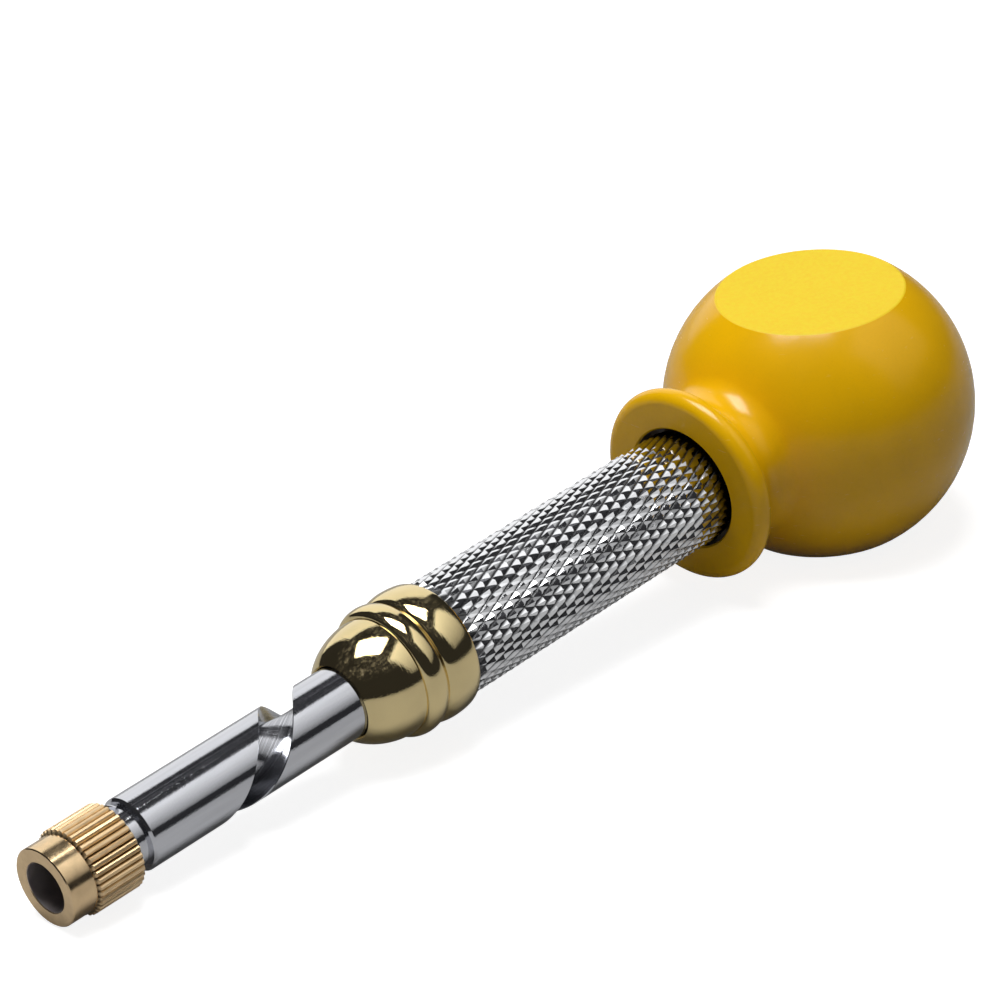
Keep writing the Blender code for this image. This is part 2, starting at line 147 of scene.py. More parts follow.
class HandleSettings(bpy.types.PropertyGroup):
    """The ball handle."""

    ball_radius: size("Ball radius", "Radius of the palm ball", -HANDLE_LOW.x)
    flat_height: size("Flat height", "Distance of each flat from the axis", AXIS_Z - HANDLE_LOW.z)
    flat_edge: size("Flat edge", "Width of the broken edges of the flats and the mouth", 0.00024)
    neck_radius: size("Neck radius", "Radius at the waist behind the flange", 0.0094)
    neck_fillet: size("Neck fillet", "Radius of the hollow between ball and flange", 0.0040)
    rim_radius: size("Rim radius", "Outer radius of the flange", 0.0128)
    rim_round: size("Rim round", "Radius of the flange's rounded rim", 0.0015)
    mouth_gap: size("Mouth gap", "Room round the knurl at the flange's mouth", 0.0005)
    mouth_depth: size("Mouth depth", "Depth of the flange's mouth", 0.0020)
    bore_radius: size("Bore radius", "Radius of the bore for the barrel", 0.0071)
    pilot_radius: size("Pilot radius", "Radius of the screw's hole", 0.0021)
    colour: tint("Colour", "Moulded yellow plastic", (0.88, 0.480, 0.0005))
    # Partly painted sheen: the flats' paler yellow and specks stand in for their sheen as well as their
    # sanded tone.
    sanded: tint("Sanded", "Plastic of the sanded flats", (0.86, 0.66, 0.015))
    scuffs: tint("Scuffs", "Light scuffs", (0.90, 0.58, 0.10))
    # Painted shade: a near-black colour laid on the wall of the flange's mouth, where shade falls.
    mouth_shade: tint("Painted shade", "Grime in the flange's mouth", (0.012, 0.010, 0.014))


class BarrelSettings(bpy.types.PropertyGroup):
    """The knurled barrel."""

    starts: whole("Starts", "Grooves round the barrel in each of the two crossing families", 40)
    pitch: size("Pitch", "Length of one diamond along the barrel", 0.0030)
    knurl_depth: size("Knurl depth", "Depth of the knurl's grooves", 0.00034)
    notch: level("Notch", "Per cent of that depth that the cross cuts in the ridges have", 45.0)
    knurl_inset: size("Knurl inset", "Length of knurl inside the flange's mouth", 0.0018)
    shank_radius: size("Shank radius", "Radius of the plain shank in the handle", 0.0070)
    bore_radius: size("Bore radius", "Inner radius of the tube", 0.0060)
    edge: size("Edge", "Width of the tube's broken edges", 0.0003)
    colour: tint("Colour", "Bright plate", (0.90, 0.91, 0.93))


class FerruleSettings(bpy.types.PropertyGroup):
    """The brass ferrule."""

    spigot_length: size("Spigot length", "Length of the spigot in the barrel", 0.0090)
    spigot_radius: size("Spigot radius", "Radius of the spigot in the barrel", 0.0059)
    bore_radius: size("Bore radius", "Radius of the bore for the shaft", 0.0046)
    heel_rise: size("Heel rise", "Height of the rear edge over the knurl", 0.0004)
    rear_bead: size("Rear bead", "Length of the rear bead", 0.0049)
    front_bead: size("Front bead", "Length of the front bead", 0.0033)
    front_rise: size("Front rise", "Height of the front bead over the knurl", 0.00085)
    dome_reach: size("Dome reach", "Length of the dome's full ellipse", 0.0090)
    mouth: size("Mouth", "Width of the broken edge at the dome's mouth", 0.0002)
    pin_radius: size("Pin radius", "Radius of the hidden drive pin", 0.001775)
    pin_fit: size("Pin fit", "Room round the pin in its hole", 0.0001)
    pin_turn: angle("Pin turn", "Where the pin sits, from straight up towards +Y", -54.93)
    colour: tint("Colour", "Polished brass", (0.86, 0.70, 0.37))


class ShaftSettings(bpy.types.PropertyGroup):
    """The grooved shaft with its threaded spigot."""

    groove_lead: size("Groove lead", "Length of one turn of the spiral groove", 0.0250)
    groove_width: size("Groove width", "Width of the groove square to its run", 0.00385)
    groove_depth: size("Groove depth", "Depth of the groove", 0.0022)
    groove_edge: size("Groove edge", "Width of the groove's broken edges", 0.00010)
    groove_start: size("Groove start", "Distance from the shaft's tail to the groove's rear end", 0.0080)
    groove_run: size("Groove run", "Length of the groove along the shaft", 0.0398)
    groove_top: size("Groove top", "Distance ahead of the ferrule where the groove passes the top", 0.0092)
    seat_mouth: size("Seat mouth", "Radius of the thrust ball's seat in the tail", 0.00217)
    showing: size("Showing", "Length of bare shaft ahead of the ferrule", 0.0322)
    relief_width: size("Relief width", "Width of the relief behind the thread", 0.0006)
    thread_crest: size("Thread crest", "Outer radius of the thread", 0.0043)
    thread_root: size("Thread root", "Radius at the bottom of the thread", 0.0037)
    thread_pitch: size("Thread pitch", "Pitch of the thread", 0.0010)
    socket_radius: size("Socket radius", "Radius of the tip's socket", 0.00305)
    socket_depth: size("Socket depth", "Depth of the tip's socket", 0.0120)
    edge: size("Edge", "Width of the broken edges", 0.0003)
    colour: tint("Colour", "Polished plate", (0.69, 0.70, 0.74))


class NutSettings(bpy.types.PropertyGroup):
    """The knurled cap nut."""

    ridges: whole("Ridges", "Ridges round the nut", 38)
    knurl_radius: size("Knurl radius", "Radius over the ridges", 0.0053)
    knurl_depth: size("Knurl depth", "Depth of the grooves between ridges", 0.00045)
    shoulder: level("Shoulder", "Share of that depth to which a ridge's shoulders drop", 0.3)
    knurl_length: size("Knurl length", "Length of the ridged part", 0.0067)
    nose_radius: size("Nose radius", "Radius of the smooth nose", 0.0048)
    nose_wall: size("Nose wall", "Thickness of the nose", 0.0034)
    bore_radius: size("Bore radius", "Inner radius over the thread", 0.0044)
    hole_radius: size("Hole radius", "Radius of the hole for the tip", 0.00305)
    edge: size("Edge", "Width of the ridges' chamfers", 0.0003)
    nose_edge: size("Nose edge", "Width of the nose's broken edges", 0.00012)
    colour: tint("Colour", "Satin brass", (0.90, 0.66, 0.38))
    # Painted shade: a darker grey for the wall of the tip's hole, where shade falls.
    hole_colour: tint("Hole colour", "Dull wall of the tip's hole", (0.40, 0.40, 0.46))


class InsideSettings(bpy.types.PropertyGroup):
    """The pieces inside the barrel."""

    wire_radius: size("Wire radius", "Radius of the spring's wire", 0.0005)
    turns: whole("Turns", "Turns of the spring", 10)
    seat_gap: size("Seat gap", "Room at each seat", 0.0001)
    steel: tint("Steel", "Ground steel", (0.52, 0.53, 0.55))
    zinc: tint("Zinc", "Zinc plate", (0.62, 0.62, 0.57))


class StageSettings(bpy.types.PropertyGroup):
    """Camera, floor and light."""

    lens: level("Lens", "Focal length of the camera in millimetres", 133.95)
    floor_colour: tint("Floor", "Colour of the floor", (0.40, 0.40, 0.40))
    top_power: level("Top light", "Power of the overhead softbox in watts", 6.9)
    ambient: level("Ambient", "Strength of the plain light from all round", 0.085)


class PunchSettings(bpy.types.PropertyGroup):
    """Everything that a user may change on the punch."""

    handle: bpy.props.PointerProperty(type=HandleSettings)
    barrel: bpy.props.PointerProperty(type=BarrelSettings)
    ferrule: bpy.props.PointerProperty(type=FerruleSettings)
    shaft: bpy.props.PointerProperty(type=ShaftSettings)
    nut: bpy.props.PointerProperty(type=NutSettings)
    inside: bpy.props.PointerProperty(type=InsideSettings)
    stage: bpy.props.PointerProperty(type=StageSettings)


# Outlines

def arc(centre, radius, start, end, along=1.0):
    """Points of an arc about (x, r), its X half-axis stretched by along, from start to end."""
    steps = max(3, math.ceil(abs(end - start) / ARC_STEP))
    points = []
    for i in range(steps + 1):
        turn = start + (end - start) * i / steps
        points.append((centre[0] + along * radius * math.cos(turn), centre[1] + radius * math.sin(turn)))
    return points


def bead(start, crest_radius, end):
    """A rounded bead between two (x, r) points: two quarter ellipses that meet at its crest."""
    middle = (start[0] + end[0]) / 2
    points = []
    for foot, first, last in ((start, math.pi, math.pi / 2), (end, math.pi / 2, 0.0)):
        rise = crest_radius - foot[1]
        points += arc((middle, foot[1]), rise, first, last, abs(middle - foot[0]) / rise)
    return points


def outward(turn):
    """The direction out from the axis at an angle from straight up towards +Y."""
    return Vector((0.0, math.sin(turn), math.cos(turn)))


def turn_of(place):
    """The angle of a place about the axis, from straight up towards +Y."""
    return math.atan2(place.y, place.z - AXIS_Z)


def radius_of(place):
    """The distance of a place from the axis."""
    return math.hypot(place.y, place.z - AXIS_Z)


# Modelling by hand

def name_active(name):
    """Name the piece just added and put its place in its mesh."""
    bpy.ops.object.transform_apply(location=True, rotation=True, scale=True)
    piece = bpy.context.object
    piece.name = name
    piece.data.name = name
    return piece


def drawn(name, points):
    """Start a piece as a line through points. Edit mode stays on, with the line selected."""
    bpy.ops.mesh.primitive_plane_add(size=SEED_SIZE, location=points[0])
    piece = name_active(name)
    bpy.ops.object.mode_set(mode="EDIT")
    bpy.ops.mesh.select_mode(type="VERT")
    bpy.ops.mesh.select_all(action="SELECT")
    bpy.ops.mesh.merge(type="CENTER")
    for last, following in zip(points, points[1:]):
        step = Vector(following) - Vector(last)
        bpy.ops.mesh.extrude_region_move(TRANSFORM_OT_translate={"value": step})
    bpy.ops.mesh.select_all(action="SELECT")
    return piece


def close_up():
    """Merge what meets, turn every face outwards and leave edit mode."""
    bpy.ops.mesh.select_all(action="SELECT")
    bpy.ops.mesh.remove_doubles(threshold=MERGE_DISTANCE)
    bpy.ops.mesh.normals_make_consistent(inside=False)
    bpy.ops.object.mode_set(mode="OBJECT")


def turned(name, outline, steps):
    """Turn an outline of (x, r) points about the tool's axis. It starts and ends on the axis, or closes."""
    piece = drawn(name, [(x, 0.0, AXIS_Z + r) for x, r in outline])
    bpy.ops.mesh.spin(steps=steps, angle=2 * math.pi, center=AXIS, axis=(1.0, 0.0, 0.0))
    close_up()
    return piece


def swept(name, section, advances, turn):
    """Carry a closed section along a screw path: each step moves it along the axis and turns it."""
    piece = drawn(name, section)
    bpy.ops.mesh.edge_face_add()
    for advance in advances:
        bpy.ops.mesh.extrude_region_move(TRANSFORM_OT_translate={"value": (advance, 0.0, 0.0)})
        bpy.ops.transform.rotate(value=turn, orient_axis="X", center_override=AXIS)
    close_up()
    return piece


def pick(kind, test):
    """Select, in edit mode, the points, edges or faces that pass a test."""
    bpy.ops.mesh.select_mode(type=kind)
    bpy.ops.mesh.select_all(action="DESELECT")
    mesh = bpy.context.object.data
    shape = bmesh.from_edit_mesh(mesh)
    for part in {"VERT": shape.verts, "EDGE": shape.edges, "FACE": shape.faces}[kind]:
        if test(part):
            part.select_set(True)
    shape.select_flush_mode()
    bmesh.update_edit_mesh(mesh)


def widen(factor):
    """Scale the selection out from the axis, or in towards it."""
    bpy.ops.transform.resize(value=(1.0, factor, factor), center_override=AXIS)


def hold(piece):
    """Select one piece alone and make it the active one."""
    bpy.ops.object.select_all(action="DESELECT")
    piece.select_set(True)
    bpy.context.view_layer.objects.active = piece


def carve(piece, *cutters, operation="DIFFERENCE"):
    """Cut a piece with others, which then go."""
    hold(piece)
    for cutter in cutters:
        cut = piece.modifiers.new(cutter.name, "BOOLEAN")
        cut.operation = operation
        cut.solver = "EXACT"
        cut.object = cutter
        bpy.ops.object.modifier_apply(modifier=cut.name)
        bpy.data.objects.remove(cutter, do_unlink=True)


def smooth(piece, sharp_angle=SMOOTH_ANGLE):
    """Shade a piece smooth, with its crisp edges kept."""
    hold(piece)
    bpy.ops.object.shade_smooth_by_angle(angle=sharp_angle)


def peg(name, x, turn, radius, inner, outer):
    """A round peg that stands out from the axis, to cut a hole or a groove's end."""
    middle = Vector((x, 0.0, AXIS_Z)) + outward(turn) * (inner + outer) / 2
    bpy.ops.mesh.primitive_cylinder_add(
        vertices=SMALL_STEPS, radius=radius, depth=outer - inner, location=middle,
        rotation=(-turn, 0.0, 0.0))
    return name_active(name)


def dress(piece, finish):
    """Give a piece its finish."""
    piece.data.materials.clear()
    piece.data.materials.append(finish)


# Finishes

def add(tree, kind, inputs=None, **traits):
    """Add a node, set its traits, and set or link its inputs."""
    made = tree.nodes.new(kind)
    for key, value in traits.items():
        setattr(made, key, value)
    for key, value in (inputs or {}).items():
        if isinstance(value, bpy.types.NodeSocket):
            tree.links.new(value, made.inputs[key])
        else:
            made.inputs[key].default_value = value
    return made


def new_finish(name, colour, metallic, roughness):
    """A finish with its plain values set on the shader. Returns it, its tree and its shader."""
    finish = bpy.data.materials.new(name)
    finish.use_nodes = True
    tree = finish.node_tree
    shader = tree.nodes["Principled BSDF"]
    shader.inputs["Base Color"].default_value = (*colour, 1.0)
    shader.inputs["Metallic"].default_value = metallic
    shader.inputs["Roughness"].default_value = roughness
    return finish, tree, shader


def paint(tree, shader, colour, roughness):
    """Link a finish's colour and roughness to its shader."""
    tree.links.new(colour, shader.inputs["Base Color"])
    tree.links.new(roughness, shader.inputs["Roughness"])


def place_on(tree):
    """Object coordinates counted from the tool's axis."""
    place = add(tree, "ShaderNodeTexCoord").outputs["Object"]
    inputs = {"Vector": place, "Location": (0.0, 0.0, -AXIS_Z)}
    return add(tree, "ShaderNodeMapping", inputs).outputs["Vector"]


def stretched(tree, place, scale):
    """Coordinates stretched along the three directions."""
    return add(tree, "ShaderNodeMapping", {"Vector": place, "Scale": scale}).outputs["Vector"]


def noise(tree, place, scale, detail=2.0):
    """Noise of a given fineness, from 0 to 1."""
    made = add(tree, "ShaderNodeTexNoise", {"Vector": place, "Scale": scale, "Detail": detail})
    return made.outputs["Fac"]


def lines(tree, value, scale):
    """Fine lines across one running value."""
    inputs = {"W": value, "Scale": scale, "Detail": 3.0}
    return add(tree, "ShaderNodeTexNoise", inputs, noise_dimensions="1D").outputs["Fac"]


def spread(tree, value, low, high, to_low=0.0, to_high=1.0):
    """A value moved from one range to another, and kept inside it."""
    inputs = {"Value": value, "From Min": low, "From Max": high, "To Min": to_low, "To Max": to_high}
    return add(tree, "ShaderNodeMapRange", inputs).outputs["Result"]


def sums(tree, operation, first, second):
    """A sum done on one or two values."""
    return add(tree, "ShaderNodeMath", {0: first, 1: second}, operation=operation).outputs[0]


def blend(tree, share, *colours):
    """Two colours blended by a share."""
    first, second = (
        colour if isinstance(colour, bpy.types.NodeSocket) else (*colour, 1.0) for colour in colours)
    return add(tree, "ShaderNodeMix", {0: share, 6: first, 7: second}, data_type="RGBA").outputs[2]


def scaled(colour, factor):
    """A colour made lighter or darker."""
    return tuple(min(1.0, part * factor) for part in colour)


def mottled(tree, pattern, colour, shade):
    """A colour that a pattern darkens in patches."""
    return blend(tree, spread(tree, pattern, *PATCHES), colour, scaled(colour, shade))


def along_and_out(tree, place):
    """The place along the axis, the distance from it, and the turn from straight up towards +Y."""
    parts = add(tree, "ShaderNodeSeparateXYZ", {0: place}).outputs
    across = add(tree, "ShaderNodeCombineXYZ", {"Y": parts["Y"], "Z": parts["Z"]}).outputs[0]
    distance = add(tree, "ShaderNodeVectorMath", {0: across}, operation="LENGTH").outputs["Value"]
    turn = sums(tree, "ARCTAN2", parts["Y"], parts["Z"])
    return parts["X"], distance, turn


def press_in(tree, shader, height, strength, distance):
    """Give a shader fine relief."""
    inputs = {"Height": height, "Strength": strength, "Distance": distance}
    tree.links.new(add(tree, "ShaderNodeBump", inputs).outputs["Normal"], shader.inputs["Normal"])


def yellow_plastic(sizes):
    """Satin moulded plastic: fine grain, light scuffs, sanded flats with partly painted sheen, and painted
    shade in the mouth.
    """
    colour = sizes.colour
    finish, tree, shader = new_finish("yellow_plastic", colour, 0.0, 0.36)
    shader.inputs["Specular IOR Level"].default_value = 0.38
    place = place_on(tree)
    cloud = spread(tree, noise(tree, place, 70.0, 3.0), 0.3, 0.7)
    grain = noise(tree, place, 3200.0, 3.0)
    scuff = noise(tree, stretched(tree, place, (900.0, 220.0, 2600.0)), 1.0)
    scuffed = spread(tree, scuff, 0.68, 0.80, 0.0, 0.14)
    clouded = blend(tree, cloud, scaled(colour, 0.94), scaled(colour, 1.05))
    grained = blend(tree, spread(tree, grain, 0.50, 0.75, 0.0, 0.14), clouded, scaled(colour, 0.72))
    height = sums(tree, "ABSOLUTE", add(tree, "ShaderNodeSeparateXYZ", {0: place}).outputs["Z"], 0.0)
    low, high = (sizes.flat_height - fade for fade in FLAT_FADE)
    on_flat = spread(tree, height, low, high)
    # Partly painted sheen: on the flats the colour moves in specks towards the paler sanded tint, which
    # stands for sheen as well as sanded plastic.
    specks_and_sheen = spread(tree, noise(tree, place, 1900.0, 4.0), 0.35, 0.65, 0.62, 0.88)
    sanded = blend(tree, sums(tree, "MULTIPLY", on_flat, specks_and_sheen), grained, sizes.sanded)
    unshaded = blend(tree, scuffed, sanded, sizes.scuffs)
    along, distance, _ = along_and_out(tree, place)
    mouth = KNURL_RADIUS + sizes.mouth_gap
    face = HANDLE_HIGH.x
    # Painted shade: the colour goes near-black on the wall of the flange's mouth, inside its face.
    near = spread(tree, distance, mouth, mouth + MOUTH_FADE, 0.92, 0.0)
    sunk = spread(tree, along, face - FACE_FADE, face, 1.0, 0.0)
    shallow = spread(tree, along, face - 2 * sizes.mouth_depth, face - sizes.mouth_depth)
    painted_shade = sums(tree, "MULTIPLY", near, sums(tree, "MULTIPLY", sunk, shallow))
    satin = sums(tree, "ADD", spread(tree, grain, 0.3, 0.7, 0.18, 0.25), scuffed)
    rough = sums(tree, "ADD", satin, sums(tree, "MULTIPLY", on_flat, 0.30))
    paint(tree, shader, blend(tree, painted_shade, unshaded, sizes.mouth_shade), rough)
    press_in(tree, shader, grain, 0.15, 0.00002)
    return finish


def knurled_chrome(sizes):
    """Plated knurl: bright on the crests, dull in the grooves, with painted shade in the grooves and
    towards the flange's mouth.
    """
    colour = sizes.colour
    finish, tree, shader = new_finish("knurled_chrome", colour, 1.0, 0.14)
    place = place_on(tree)
    along, distance, _ = along_and_out(tree, place)
    # Painted shade: the plate darkens towards 0.12 of its colour deep in the grooves and over a few
    # millimetres from the flange's mouth.
    low, high = (KNURL_RADIUS - share * sizes.knurl_depth for share in (0.95, 0.55))
    height = spread(tree, distance, low, high)
    clear = spread(tree, along, HANDLE_HIGH.x, HANDLE_HIGH.x + MOUTH_SHADE_LENGTH, 0.12, 1.0)
    bright = sums(tree, "MULTIPLY", height, clear)
    speckle = noise(tree, place, 2600.0)
    dull = spread(tree, height, 0.0, 1.0, 0.20, 0.0)
    worn = sums(tree, "ADD", dull, spread(tree, speckle, 0.3, 0.7, 0.02, 0.08))
    paint(tree, shader, blend(tree, bright, scaled(colour, 0.12), colour), worn)
    press_in(tree, shader, speckle, 0.15, 0.00001)
    return finish


def polished_brass(colour):
    """Polished brass: fine rings from the lathe, faint smears and a little orange peel."""
    finish, tree, shader = new_finish("polished_brass", colour, 1.0, 0.07)
    place = place_on(tree)
    along, distance, _ = along_and_out(tree, place)
    rings = lines(tree, sums(tree, "ADD", along, distance), 7000.0)
    smear = noise(tree, place, 260.0, 4.0)
    peel = noise(tree, place, 5500.0)
    stained = mottled(tree, smear, colour, 0.90)
    dull = spread(tree, smear, 0.35, 0.75, 0.02, 0.05)
    paint(tree, shader, stained, sums(tree, "ADD", dull, spread(tree, rings, 0.4, 0.8, 0.0, 0.02)))
    press_in(tree, shader, sums(tree, "ADD", peel, rings), 0.30, 0.00002)
    return finish


def polished_chrome(colour):
    """Polished plate with fine marks along and round the shaft."""
    finish, tree, shader = new_finish("polished_chrome", colour, 1.0, 0.07)
    place = place_on(tree)
    along, _, _ = along_and_out(tree, place)
    rings = lines(tree, along, 5200.0)
    haze = noise(tree, stretched(tree, place, (90.0, 900.0, 900.0)), 1.0, 4.0)
    hazed = mottled(tree, haze, colour, 0.90)
    dull = spread(tree, haze, 0.35, 0.75, 0.04, 0.10)
    paint(tree, shader, hazed, sums(tree, "ADD", dull, spread(tree, rings, 0.4, 0.8, 0.0, 0.03)))
    pits = noise(tree, place, 5200.0)
    press_in(tree, shader, sums(tree, "ADD", pits, rings), 0.60, 0.00001)
    return finish


def milled_groove(colour, lead):
    """The groove's plated floor and walls, with mill marks along its run."""
    finish, tree, shader = new_finish("milled_groove", colour, 1.0, 0.16)
    place = place_on(tree)
    along, distance, turn = along_and_out(tree, place)
    run = sums(tree, "SUBTRACT", along, sums(tree, "MULTIPLY", turn, lead / (2 * math.pi)))
    marks = lines(tree, run, 4200.0)
    swirl = lines(tree, distance, 9000.0)
    marked = blend(tree, spread(tree, marks, *PATCHES), scaled(colour, 0.55), colour)
    paint(tree, shader, marked, spread(tree, swirl, 0.3, 0.8, 0.08, 0.26))
    press_in(tree, shader, sums(tree, "ADD", marks, swirl), 0.25, 0.00002)
    return finish


def satin_brass(sizes):
    """Bare turned brass, duller than the ferrule, with painted shade in the grooves between its ridges."""
    colour = sizes.colour
    finish, tree, shader = new_finish("satin_brass", colour, 1.0, 0.30)
    place = place_on(tree)
    along, distance, _ = along_and_out(tree, place)
    rings = lines(tree, sums(tree, "ADD", along, distance), 9000.0)
    tarnish = noise(tree, place, 700.0, 4.0)
    unshaded = mottled(tree, tarnish, colour, 0.84)
    # Painted shade: the brass darkens towards 0.18 of its colour in the grooves between the ridges, which
    # end at the nose.
    low, high = (sizes.knurl_radius - share * sizes.knurl_depth for share in (1.0, 0.4))
    groove = spread(tree, distance, low, high, 0.9, 0.0)
    nose = NUT_LOW.x + sizes.knurl_length
    ridged = spread(tree, along, nose - NOSE_FADE, nose, 1.0, 0.0)
    painted_shade = blend(tree, sums(tree, "MULTIPLY", groove, ridged), unshaded, scaled(colour, 0.18))
    # Painted shade: the wall of the tip's hole mostly takes the darker hole colour, and is made rougher
    # too.
    bore = spread(tree, distance, sizes.hole_radius, sizes.hole_radius + NOSE_FADE, 0.8, 0.0)
    worn = spread(tree, ridged, 0.0, 1.0, 0.13, 0.32)
    dull = sums(tree, "ADD", worn, spread(tree, tarnish, 0.3, 0.75, 0.0, 0.07))
    rough = sums(tree, "ADD", dull, sums(tree, "MULTIPLY", bore, 0.6))
    paint(tree, shader, blend(tree, bore, painted_shade, sizes.hole_colour), rough)
    press_in(tree, shader, rings, 0.18, 0.00002)
    return finish


def plain_steel(name, colour, roughness, fineness):
    """Bare steel with fine marks from the lathe or the grinder."""
    finish, tree, shader = new_finish(name, colour, 1.0, roughness)
    place = place_on(tree)
    along, distance, _ = along_and_out(tree, place)
    rings = lines(tree, sums(tree, "ADD", along, distance), fineness)
    oil = noise(tree, place, 500.0, 4.0)
    oiled = mottled(tree, oil, colour, 0.80)
    paint(tree, shader, oiled, sums(tree, "ADD", spread(tree, rings, 0.3, 0.8, 0.0, 0.1), roughness))
    press_in(tree, shader, rings, 0.12, 0.00002)
    return finish


# Pieces

def flats_keeper(sizes):
    """A wide disc turned about the upright axis: what of the handle lies in it is kept."""
    top = sizes.flat_height
    rim = math.sqrt(sizes.ball_radius ** 2 - top ** 2)
    slope = rim / top / 2
    edge = sizes.flat_edge / 2
    half = [(0.0, top), (rim - 5 * edge, top), (rim - edge, top), (rim + edge, top - 2 * edge * slope)]
    half.append((3 * sizes.ball_radius, half[-1][1]))
    points = half + [(r, -z) for r, z in reversed(half)]
    keeper = drawn("flats_keeper", [(r, 0.0, AXIS_Z + z) for r, z in points])
    bpy.ops.mesh.spin(steps=FINE_STEPS, angle=2 * math.pi, center=AXIS, axis=(0.0, 0.0, 1.0))
    close_up()
    return keeper


def make_ball_handle(sizes):
    """The ball, neck and flange turned as one, then a flat cut above and below."""
    fillet_r = sizes.neck_radius + sizes.neck_fillet
    fillet_x = math.sqrt((sizes.ball_radius + sizes.neck_fillet) ** 2 - fillet_r ** 2)
    rim_r = sizes.rim_radius - sizes.rim_round
    rim_x = fillet_x + math.sqrt((sizes.neck_fillet + sizes.rim_round) ** 2 - (fillet_r - rim_r) ** 2)
    face_x = rim_x + sizes.rim_round
    neck_turn = math.atan2(fillet_r, fillet_x)
    rim_turn = math.atan2(fillet_r - rim_r, fillet_x - rim_x)
    mouth_r = KNURL_RADIUS + sizes.mouth_gap
    mouth_x = face_x - sizes.mouth_depth
    bottom = BARREL_LOW.x
    outline = arc((0.0, 0.0), sizes.ball_radius, math.pi, neck_turn)
    outline[0] = (-sizes.ball_radius, 0.0)
    outline += arc((fillet_x, fillet_r), sizes.neck_fillet, math.pi + neck_turn, math.pi + rim_turn)[1:]
    outline += arc((rim_x, rim_r), sizes.rim_round, rim_turn, 0.0)[1:]
    outline += [
        (face_x, mouth_r + sizes.flat_edge), (face_x - sizes.flat_edge, mouth_r), (mouth_x, mouth_r),
        (mouth_x, sizes.bore_radius), (bottom, sizes.bore_radius), (bottom, sizes.pilot_radius),
        (SCREW_LOW.x, sizes.pilot_radius), (SCREW_LOW.x, 0.0),
    ]
    handle = turned("ball_handle_shell", outline, FINE_STEPS)
    carve(handle, flats_keeper(sizes), operation="INTERSECT")
    smooth(handle, HANDLE_ANGLE)
    return handle


def make_barrel(sizes):
    """A tube whose grip is a net of diamonds: ridges wound one way, with cuts wound the other way."""
    start = HANDLE_HIGH.x - sizes.knurl_inset
    end = BARREL_HIGH.x
    columns = 2 * sizes.starts
    rows = 2 * round((end - start) / sizes.pitch)
    row_length = (end - start) / rows
    root = KNURL_RADIUS - sizes.knurl_depth
    bpy.ops.mesh.primitive_cylinder_add(
        vertices=columns, radius=KNURL_RADIUS, depth=end - start, end_fill_type="NOTHING",
        location=((start + end) / 2, 0.0, AXIS_Z), rotation=(0.0, math.pi / 2, 0.0))
    barrel = name_active("diamond_barrel")

    def step_of(point):
        row = round((point.co.x - start) / row_length)
        return row, round(turn_of(point.co) / (2 * math.pi) * columns)

    def is_valley(point):
        row, column = step_of(point)
        return row in (0, rows) or (row + column) % 2 == 1

    def between_rows(point):
        return abs((point.co.x - start) / row_length % 1.0 - 0.5) < ROW_TOLERANCE

    def crosses_back(edge):
        first, last = sorted(edge.verts, key=lambda point: point.co.x)
        rise = step_of(last)[0] - step_of(first)[0]
        turn = (step_of(last)[1] - step_of(first)[1] + columns / 2) % columns - columns / 2
        inner = 0 < step_of(first)[0] and step_of(last)[0] < rows
        return inner and rise == 1 and turn == -1

    bpy.ops.object.mode_set(mode="EDIT")
    pick("EDGE", lambda edge: edge.calc_length() > (end - start) / 2)
    bpy.ops.mesh.subdivide(number_cuts=rows - 1)
    pick("VERT", is_valley)
    widen(root / KNURL_RADIUS)
    bpy.ops.mesh.select_all(action="SELECT")
    bpy.ops.mesh.quads_convert_to_tris(quad_method="SHORTEST_DIAGONAL")
    pick("EDGE", crosses_back)
    bpy.ops.mesh.subdivide(number_cuts=1)
    pick("VERT", between_rows)
    widen(KNURL_RADIUS / root)
    bpy.ops.mesh.bevel(offset_type="PERCENT", offset_pct=sizes.notch, affect="VERTICES")
    pick("EDGE", lambda edge: edge.is_boundary and edge.verts[0].co.x < (start + end) / 2)
    rear = BARREL_LOW.x
    rings = [
        (start, root), (start, sizes.shank_radius), (rear + sizes.edge, sizes.shank_radius),
        (rear, sizes.shank_radius - sizes.edge), (rear, sizes.bore_radius), (end, sizes.bore_radius),
    ]
    for (x, r), (next_x, next_r) in zip(rings, rings[1:]):
        bpy.ops.mesh.extrude_edges_move(TRANSFORM_OT_translate={"value": (next_x - x, 0.0, 0.0)})
        widen(next_r / r)
    pick("EDGE", lambda edge: edge.is_boundary)
    bpy.ops.mesh.bridge_edge_loops()
    close_up()
    smooth(barrel, KNURL_ANGLE)
    return barrel


def make_ferrule(sizes):
    """Two beads and a dome turned with a spigot, bored for the shaft and drilled for the pin."""
    foot = FERRULE_LOW.x + sizes.spigot_length
    valley = (foot + sizes.rear_bead, KNURL_RADIUS)
    dome = (valley[0] + sizes.front_bead, KNURL_RADIUS)
    edge_r = sizes.bore_radius + sizes.mouth
    outline = [(FERRULE_LOW.x, sizes.bore_radius), (FERRULE_LOW.x, sizes.spigot_radius)]
    outline.append((foot, sizes.spigot_radius))
    outline += bead((foot, KNURL_RADIUS + sizes.heel_rise), FERRULE_CREST, valley)
    outline += bead(valley, KNURL_RADIUS + sizes.front_rise, dome)
    outline += arc(
        (dome[0], 0.0), KNURL_RADIUS, math.pi / 2, math.asin(edge_r / KNURL_RADIUS),
        sizes.dome_reach / KNURL_RADIUS)
    outline.append((outline[-1][0] - sizes.mouth, sizes.bore_radius))
    outline.append(outline[0])
    ferrule = turned("domed_ferrule", outline, FINE_STEPS)
    pin_x = FERRULE_LOW.x + sizes.spigot_length / 2
    hole_r = sizes.pin_radius + sizes.pin_fit
    hole = peg("pin_hole", pin_x, sizes.pin_turn, hole_r, sizes.bore_radius / 2, KNURL_RADIUS)
    carve(ferrule, hole)
    smooth(ferrule)
    return ferrule


